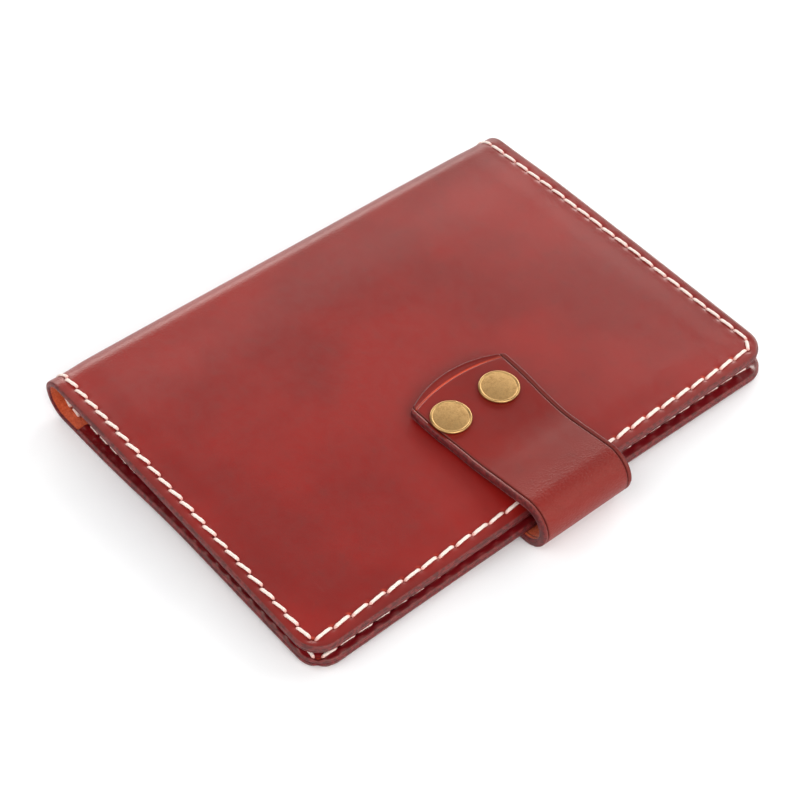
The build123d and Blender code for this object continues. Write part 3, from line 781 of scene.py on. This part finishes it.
def stitching(name, rows, seed):
    """All stitches of some rows as one mesh.

    Each row is (place, depth, outward, holes, slant): depth is the face that the thread lies on, outward is
    -1 on an outer face and 1 on an inner one, and slant moves each end of a stitch off the row, in opposite
    directions.
    """
    random = np.random.default_rng(seed)
    points, marks, uvs = [], [], []
    t = np.linspace(0, 1, SECTIONS)
    ring = np.linspace(0, 2 * math.pi, SIDES, endpoint=False)
    arch = 1 - np.abs(2 * t - 1) ** 5
    slim = END_SLIM + (1 - END_SLIM) * np.clip(arch * 1.6, 0, 1)
    count = 0
    for place, depth, outward, holes, slant in rows:
        gap = END_GAP if outward < 0 else INNER_GAP
        for start, end in zip(holes[:-1], holes[1:]):
            run = (end - start) / np.linalg.norm(end - start)
            across = np.array([-run[1], run[0]])
            jitter = random.normal(0, 0.05, 4)
            a = start + run * (gap + jitter[0]) + across * (slant + jitter[1])
            b = end - run * (gap + jitter[2]) - across * (slant + jitter[3])
            flat = a + (b - a) * t[:, None]
            size = 1 + random.normal(0, 0.04)
            rise = -SUNK + (SUNK + PROUD + random.normal(0, 0.03)) * arch
            d = depth + outward * rise
            centre = place(flat[:, 0], flat[:, 1], d)
            normal = place(flat[:, 0], flat[:, 1], d + outward * 0.2) - centre
            tangent = np.gradient(centre, axis=0)
            tangent /= np.linalg.norm(tangent, axis=1)[:, None]
            side = np.cross(tangent, normal)
            side /= np.linalg.norm(side, axis=1)[:, None]
            normal = np.cross(side, tangent)
            turn = ring[None, :] + 0 * t[:, None]
            ply = 1 + PLY_RELIEF * np.cos(2 * (turn - t[:, None] * PLY_TURNS - jitter[0] * 20))
            wide = THREAD_HALF_WIDTH * size * slim[:, None] * ply * np.cos(turn)
            high = THREAD_HALF_HEIGHT * size * slim[:, None] * ply * np.sin(turn)
            shell = side[:, None, :] * wide[..., None] + normal[:, None, :] * high[..., None]
            points.append((centre[:, None, :] + shell).reshape(-1, 3))
            marks.append(np.repeat(np.abs(2 * t - 1), SIDES))
            along = t * np.linalg.norm(b - a) + count * 5.3
            uvs.append(np.stack([np.repeat(along, SIDES), np.tile(ring * 0.4, SECTIONS)], -1))
            count += 1
    index = np.arange(SECTIONS * SIDES).reshape(SECTIONS, SIDES)
    around = np.concatenate([index, index[:, :1]], 1)
    quads = np.stack([around[:-1, :-1], around[:-1, 1:], around[1:, 1:], around[1:, :-1]], -1).reshape(-1, 4)
    offsets = np.arange(count) * index.size
    all_quads = (quads[None] + offsets[:, None, None]).reshape(-1, 4)
    ends = np.concatenate([index[0, ::-1] + offsets[:, None], index[-1] + offsets[:, None]])
    # the first stitch tells which way its faces look
    first = points[0]
    a, b, c = first[quads[0][:3]]
    if np.dot(np.cross(b - a, c - a), a - first.mean(0)) <= 0:
        all_quads, ends = all_quads[:, ::-1], ends[:, ::-1]
    return make_mesh(name, np.concatenate(points), [all_quads, ends], [thread],
                     attributes={"hole": np.concatenate(marks)}, uv=np.concatenate(uvs) * UV_SCALE)


# ---- The cover ----
NEAR_SLANT, FORE_SLANT, FAR_SLANT, INNER_SLANT = 0.40, 0.22, 0.12, 0.10
back_rows = cover_rows(BACK_LENGTH, 2.05, (2.15, 2.95), 2.7)
front_rows = cover_rows(FRONT_LENGTH, 2.5, (3.4, 2.7), 2.6)
TABLE_GROOVE = 0.58  # depth of the grooves that keep the stitches clear of the table


def on_table(relief):
    """A relief with nothing standing out of the face, for the faces that lie on the table."""
    return lambda u, v, e: np.minimum(relief(u, v, e), 0)


back_relief = on_table(seam_relief(back_rows, band=TABLE_GROOVE, puff=0.0, seed=1.3))
back_leather = panel(
    "back_cover_leather", place_back, BACK_LENGTH, HALF_HEIGHT, COVER, [cover_grain, flesh],
    outer=back_relief, marks=seam_marks(back_rows, BACK_LENGTH),
)
front_leather = panel(
    "front_cover_leather", place_front, FRONT_LENGTH, HALF_HEIGHT, COVER, [cover_grain, flesh],
    outer=seam_relief(front_rows, seed=0.4), marks=seam_marks(front_rows, FRONT_LENGTH),
)


POCKET_TRIM = 0.12  # the inner panels are cut this much smaller at the near and far ends


def pocket_lift(u, v, e):
    """The inner panel stands off the cover between its stitched edges."""
    sewn = np.minimum(u, HALF_HEIGHT - np.abs(v))
    return -SLEEVE * smooth(sewn, 4.4, 8.5)


def pocket_panel(name, place, rows, length, burr, seed):
    """An inner panel. burr is the height of the leather raised outside its stitch holes."""
    relief = seam_relief(rows, band=0.12, pit=0.5, puff=0.0, seed=seed)

    def inner(u, v, e):
        return relief(u, v, e) + burr * burrs(u, v, rows)

    return panel(
        name, place, length, HALF_HEIGHT - POCKET_TRIM, POCKET, [pocket_grain, pocket_grain],
        start=COVER, both=True, outer_round=0.12, inner_round=0.4, inner=inner, lift=pocket_lift,
        marks=seam_marks(rows),
    )


back_pocket_length = BACK_EDGE_X - POCKET_EDGE_X
front_pocket_length = (FRONT_EDGE_X - POCKET_EDGE_X) / math.cos(math.radians(FRONT_SLOPE))
back_pocket = pocket_panel("back_pocket_panel", place_back, back_rows, back_pocket_length, 0.55, 0.9)
front_pocket = pocket_panel("front_pocket_panel", place_front, front_rows, front_pocket_length, 0.25, 2.1)


def half_stitches(place, rows, pocket_length, outer_depth):
    """Rows of stitches on both faces of a half: outside, on the pocket, and on the flesh by the spine."""
    near, fore, far = rows
    inside_depth = COVER + POCKET
    found = [
        (place, outer_depth, -1, near, NEAR_SLANT),
        (place, outer_depth, -1, fore, FORE_SLANT),
        (place, outer_depth, -1, far, FAR_SLANT),
        (place, inside_depth, 1, fore, -INNER_SLANT),
    ]
    for holes in (near, far[::-1]):
        on_pocket = holes[holes[:, 0] < pocket_length]
        by_spine = holes[holes[:, 0] > pocket_length]
        found.append((place, inside_depth, 1, on_pocket, -INNER_SLANT))
        found.append((place, COVER, 1, by_spine, -INNER_SLANT))
    return found


back_found = half_stitches(place_back, back_rows, back_pocket_length, TABLE_GROOVE)
front_found = half_stitches(place_front, front_rows, front_pocket_length, 0.0)
back_stitches = stitching("back_stitching", back_found, 11)
front_stitches = stitching("front_stitching", front_found, 12)


# ---- The strap ----
SIDE_CREASE, TIP_CREASE, TIP_CREASE_R = 1.25, 2.4, 41.0
# the creases' depth and width, and the width of the painted shade and painted highlight along them
CREASE_DEPTH, CREASE_WIDTH, CREASE_COLOUR_WIDTH = 0.34, 0.18, 0.17
STRAP_RIM, STRAP_WAVE = 0.14, 0.06
FLARE, WAIST = 0.35, 0.9  # the strap is this much wider at its tip than the CAD's, and narrower at the loop


def bow(v, radius):
    """How far an arc of a radius falls back from its middle."""
    return radius - np.sqrt(radius**2 - v**2)


def strap_outline(u, v):
    """Gives the free end the tip's arc, and flares the strap towards it."""
    wider = FLARE - (FLARE + WAIST) * smooth(u, 2, 34)
    return u + bow(v, TIP_R) * (1 - smooth(u, 4, 22)), v * (1 + wider / STRAP_HALF)


def creases(u, v, width):
    """The lines pressed along both long edges, and the one along the tip in a flatter arc than the tip's."""
    inner_half = STRAP_HALF - SIDE_CREASE
    edges = np.exp(-(((np.abs(v) - inner_half) / width) ** 2))
    tip_line = TIP_CREASE + bow(v, TIP_CREASE_R) - bow(v, TIP_R)
    tip = np.exp(-(((u - tip_line) / width) ** 2)) * (np.abs(v) < inner_half)
    return edges, tip


def strap_relief(u, v, e):
    """Creased lines, a rim that stands up a little outside them, and slight waves."""
    edges, tip = creases(u, v, CREASE_WIDTH)
    rim = STRAP_RIM * smooth(SIDE_CREASE - e, 0.1, 0.9)
    waves = STRAP_WAVE * np.sin(u / 5 + 0.3) * np.sin(v / 6 + 0.3)
    return rim + waves - CREASE_DEPTH * np.maximum(edges, 0.8 * tip)


def strap_marks(bend):
    """Attributes for the materials: painted shade in the edge creases, a painted highlight along the tip
    crease, and wrinkles at the bend.
    """

    def marks(u, v, e):
        edges, tip = creases(u, v, CREASE_COLOUR_WIDTH)
        # the tip crease's painted highlight, weaker towards the sides
        glow = tip * (1 - 0.6 * smooth(np.abs(v), 5, STRAP_HALF - SIDE_CREASE))
        # painted shade in the side creases
        return {"pit": 0.85 * edges, "glow": glow, "bend": smooth(u, bend - 20, bend - 8)}

    return marks


strap_shape = {
    "corner": 0.6, "block": 0.75, "step": 0.5, "outer_round": 0.5, "inner_round": 0.4, "outer": strap_relief,
    "reshape": strap_outline, "fine_u": (0.9, 2.9), "fine_v": (SIDE_CREASE - 0.42, SIDE_CREASE + 0.42),
}
tab_leather = panel(
    "strap_tab_leather", place_tab, TAB_LENGTH, STRAP_HALF, STRAP, [strap_grain, flesh],
    marks=strap_marks(TAB_LENGTH), **strap_shape,
)
ANCHOR_INSET = 3.0  # of the fixed end's stitches from its edges
ANCHOR_CLEAR = 5.5  # and from the back cover's fore-edge
anchor_side = STRAP_HALF - ANCHOR_INSET
anchor_first = 2 * ANCHOR_INSET
anchor_last = BACK_EDGE_X - ANCHOR_CLEAR - TIP_X


def anchor_relief(u, v, e):
    """The strap's relief, with a groove for the stitches along the fixed end's sides and tip."""
    beyond = np.maximum(np.maximum(anchor_first - u, u - anchor_last), 0)
    to_sides = np.hypot(np.abs(v) - anchor_side, beyond)
    to_tip = np.hypot(u - anchor_first, np.maximum(np.abs(v) - anchor_side, 0))
    groove = np.exp(-((np.minimum(to_sides, to_tip) / PRESS_WIDTH) ** 2))
    return strap_relief(u, v, e) - TABLE_GROOVE * groove


anchor_leather = panel(
    "strap_fixed_leather", place_anchor, ANCHOR_LENGTH, STRAP_HALF, STRAP, [strap_grain, flesh],
    marks=strap_marks(ANCHOR_LENGTH), **{**strap_shape, "outer": on_table(anchor_relief)},
)
anchor_rows = [
    row((anchor_last, -anchor_side), (anchor_first, -anchor_side), NEAR_PITCH),
    row((anchor_first, -anchor_side), (anchor_first, anchor_side), NEAR_PITCH),
    row((anchor_first, anchor_side), (anchor_last, anchor_side), NEAR_PITCH),
]
anchor_found = [
    (place_anchor, TABLE_GROOVE, -1, np.stack(strap_outline(*holes.T), -1), INNER_SLANT)
    for holes in anchor_rows
]
anchor_stitches = stitching("strap_stitching", anchor_found, 13)


# ---- Snap caps ----
CAP_DOME_R = 4.1  # where the cap's dome ends and its rim begins
CAP_SEGMENTS = 96


def cap_profile():
    """Half the cap's section: a shallow dome, a groove, a rolled rim and a flat underside, from the axis."""
    edge_r, dome_low, dome_high = CAP_DOME_R + 0.05, 0.70, 0.92
    r = np.linspace(0, edge_r, 16)
    dome = np.stack([r, dome_low + (dome_high - dome_low) * (1 - (r / edge_r) ** 2)], -1)
    rim_tube, rim_height = 0.40, 0.46
    angle = np.radians(np.linspace(150, -60, 15))
    rim_r = CAP_R - rim_tube + rim_tube * np.cos(angle)
    rim = np.stack([rim_r, rim_height + rim_tube * np.sin(angle)], -1)
    return np.concatenate([dome, rim, [[CAP_R - 0.6, 0.0], [1.5, 0.0], [0.0, 0.0]]])


def turned(name, profile, place, segments, material, rim_from):
    """A solid of revolution about a normal of the strap's face; place puts (x, y, height) there."""
    angle = np.linspace(0, 2 * math.pi, segments, endpoint=False)
    inner = profile[1:-1]
    x = inner[:, :1] * np.cos(angle)
    y = inner[:, :1] * np.sin(angle)
    z = inner[:, 1:] + 0 * angle
    local = np.stack([x, y, z], -1).reshape(-1, 3)
    local = np.concatenate([local, [[0, 0, profile[0, 1]], [0, 0, profile[-1, 1]]]])
    index = np.arange(len(inner) * segments).reshape(-1, segments)
    around = np.concatenate([index, index[:, :1]], 1)
    quads = np.stack([around[:-1, :-1], around[1:, :-1], around[1:, 1:], around[:-1, 1:]], -1).reshape(-1, 4)
    top, bottom = index.size, index.size + 1
    first = np.stack([np.full(segments, top), around[0, :-1], around[0, 1:]], -1)
    last = np.stack([np.full(segments, bottom), around[-1, 1:], around[-1, :-1]], -1)
    rim = smooth(np.hypot(local[:, 0], local[:, 1]), rim_from, rim_from + 0.25)
    return make_mesh(name, place(local), [quads, first, last], [material], attributes={"rim": rim},
                     uv=local[:, :2] * UV_SCALE)


def on_tab(x, y):
    """A function that puts local points on the tab's face, where its global X and Y are these."""
    s = (x - strap_line.runs[0][2][0]) / math.cos(strap_line.runs[0][3])
    point, normal = strap_line.at(np.array(s))
    along = np.array([normal[1], -normal[0]])

    def place(local):
        xz = point + local[:, :1] * along + local[:, 2:] * normal
        return np.stack([xz[:, 0], y + local[:, 1], xz[:, 1]], -1)

    return place


for side in ("near", "far"):
    low, high = box_mm(f"snap_cap_{side}")
    middle = [(a + b) / 2 for a, b in zip(low, high)]
    place_cap = on_tab(middle[0], middle[1])
    cap = turned(f"snap_cap_{side}_turned", cap_profile(), place_cap, CAP_SEGMENTS, brass, CAP_DOME_R)
    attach(cap, "strap_tab_body")
    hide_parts(f"snap_cap_{side}")

for node_name, node_object in frame["nodes"].items():
    if node_name.startswith(("snap_socket", "snap_stud", "snap_post")):
        node_object.data.materials.clear()
        node_object.data.materials.append(snap_metal)


for piece in (back_leather, back_stitches):
    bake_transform(piece)
for piece in (front_leather, front_stitches):
    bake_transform(piece)
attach(back_pocket, "back_half")
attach(front_pocket, "front_half")
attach(anchor_stitches, "back_half")
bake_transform(anchor_leather)
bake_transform(tab_leather)

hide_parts("back_cover", "spine_fold")
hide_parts("front_cover")
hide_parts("back_pocket")
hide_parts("front_pocket")
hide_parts("back_thread", "spine_thread")
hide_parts("front_thread")
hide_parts("strap_anchor", "strap_loop")
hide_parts("strap_tab")
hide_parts("strap_thread")


# ---- Stage, light and camera ----
FLOOR_Z = -0.05 * MM  # a little below the table plane, so that no faces coincide
bpy.ops.mesh.primitive_plane_add(size=4.0, location=(0, 0, FLOOR_Z))
floor = bpy.context.object
floor.name = "floor"
floor.data.materials.append(paper_floor("white_card"))


def direction(azimuth, elevation):
    """The unit vector towards an azimuth, in degrees round from -Y to +X, and an elevation."""
    a, e = math.radians(azimuth), math.radians(elevation)
    return Vector((math.sin(a) * math.cos(e), -math.cos(a) * math.cos(e), math.sin(e)))


def softbox(name, azimuth, elevation, distance, size, power):
    """A rectangular area light aimed at the holder."""
    data = bpy.data.lights.new(name, "AREA")
    data.shape = "RECTANGLE"
    data.size, data.size_y = size
    data.energy = power
    made = bpy.data.objects.new(name, data)
    way = direction(azimuth, elevation)
    made.location = way * distance
    made.rotation_euler = way.to_track_quat("Z", "Y").to_euler()
    bpy.context.scene.collection.objects.link(made)


softbox("back_left_softbox", 250, 22, 1.3, (0.8, 0.4), 6.7)
softbox("back_right_softbox", 205, 22, 1.3, (0.8, 0.4), 7.7)
softbox("key_softbox", 65, 45, 1.1, (1.0, 1.0), 5.8)
softbox("near_softbox", 340, 45, 1.1, (1.0, 1.0), 5.0)
softbox("far_softbox", 160, 30, 1.2, (0.8, 0.6), 4.6)
softbox("fore_softbox", 90, 28, 1.1, (1.0, 0.6), 5.2)

world = bpy.data.worlds.new("studio")
world.use_nodes = True
background = world.node_tree.nodes["Background"]
background.inputs["Color"].default_value = (1, 1, 1, 1)
background.inputs["Strength"].default_value = 0.24
bpy.context.scene.world = world
bpy.context.scene.view_settings.view_transform = "Standard"

CAMERA_WAY = direction(49.97, 47.05)  # the photo's angle
CAMERA_DISTANCE = 0.4666
CAMERA_TARGET = Vector((-0.0026, -0.0043, 0.0))
camera_data = bpy.data.cameras.new("camera")
camera_data.sensor_width = 36.0
camera_data.lens = 86.66
camera = bpy.data.objects.new("camera", camera_data)
camera.location = CAMERA_TARGET + CAMERA_WAY * CAMERA_DISTANCE
camera.rotation_euler = CAMERA_WAY.to_track_quat("Z", "Y").to_euler()
bpy.context.scene.collection.objects.link(camera)
bpy.context.scene.camera = camera
